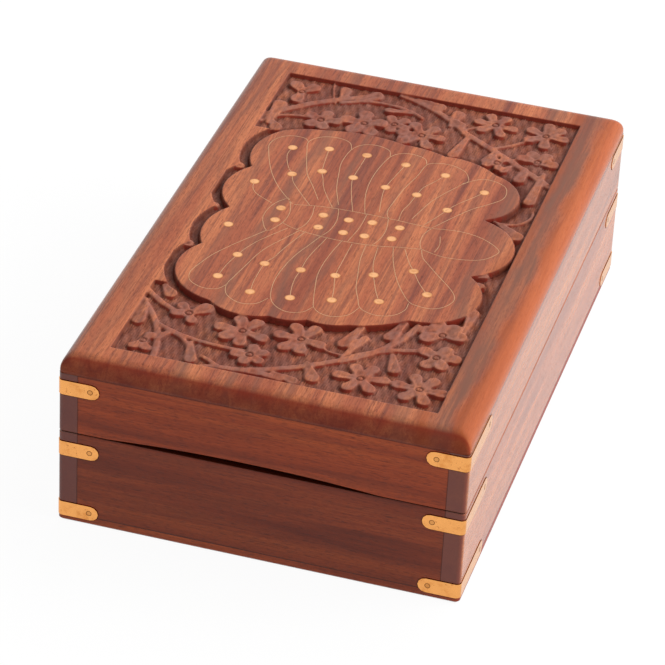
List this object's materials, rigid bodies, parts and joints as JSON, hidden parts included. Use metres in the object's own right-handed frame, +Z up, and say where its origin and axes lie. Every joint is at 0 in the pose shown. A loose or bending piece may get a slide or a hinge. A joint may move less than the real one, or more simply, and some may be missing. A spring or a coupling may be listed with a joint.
{
  "type": "tarot card box",
  "caption": "Low carved hardwood box with a hinged lid, brass corner straps and a brass-inlaid scalloped field on the lid, lined for a deck of cards.",
  "frame": {"origin": "middle of the underside", "axes": "+X to the right seen from the short front, +Y to the hinged back, +Z up"},
  "size_m": [0.1274, 0.2068, 0.0597],
  "materials": {
    "rosewood": "waxed",
    "brass": "satin",
    "velvet": "pile"
  },
  "bodies": {
    "base": {"base_back_lining": "velvet", "base_back_wall": "rosewood", "base_floor_lining": "velvet", "base_front_lining": "velvet", "base_front_wall": "rosewood", "base_left_lining": "velvet", "base_left_wall": "rosewood", "base_lower_strap_back_left": "brass", "base_lower_strap_back_right": "brass", "base_lower_strap_front_left": "brass", "base_lower_strap_front_right": "brass", "base_right_lining": "velvet", "base_right_wall": "rosewood", "base_strap_nails": "brass", "base_upper_strap_back_left": "brass", "base_upper_strap_back_right": "brass", "base_upper_strap_front_left": "brass", "base_upper_strap_front_right": "brass", "bottom_board": "rosewood", "hinge_base_screws": "brass", "hinge_left_base_leaf": "brass", "hinge_left_pin": "brass", "hinge_right_base_leaf": "brass", "hinge_right_pin": "brass"},
    "lid": {"hinge_left_lid_leaf": "brass", "hinge_lid_screws": "brass", "hinge_right_lid_leaf": "brass", "inlay_dots": "brass", "inlay_wires": "brass", "lid_back_rail": "rosewood", "lid_front_rail": "rosewood", "lid_left_rail": "rosewood", "lid_lining": "velvet", "lid_right_rail": "rosewood", "lid_strap_back_left": "brass", "lid_strap_back_right": "brass", "lid_strap_front_left": "brass", "lid_strap_front_right": "brass", "lid_strap_nails": "brass", "lid_top_board": "rosewood"}
  },
  "joints": [
    {"name": "lid_hinge", "type": "hinge", "parent": "base", "child": "lid", "pos_m": [0, 0.10335, 0.0327], "axis": [-1, 0, 0], "range_deg": [0, 180]}
  ]
}
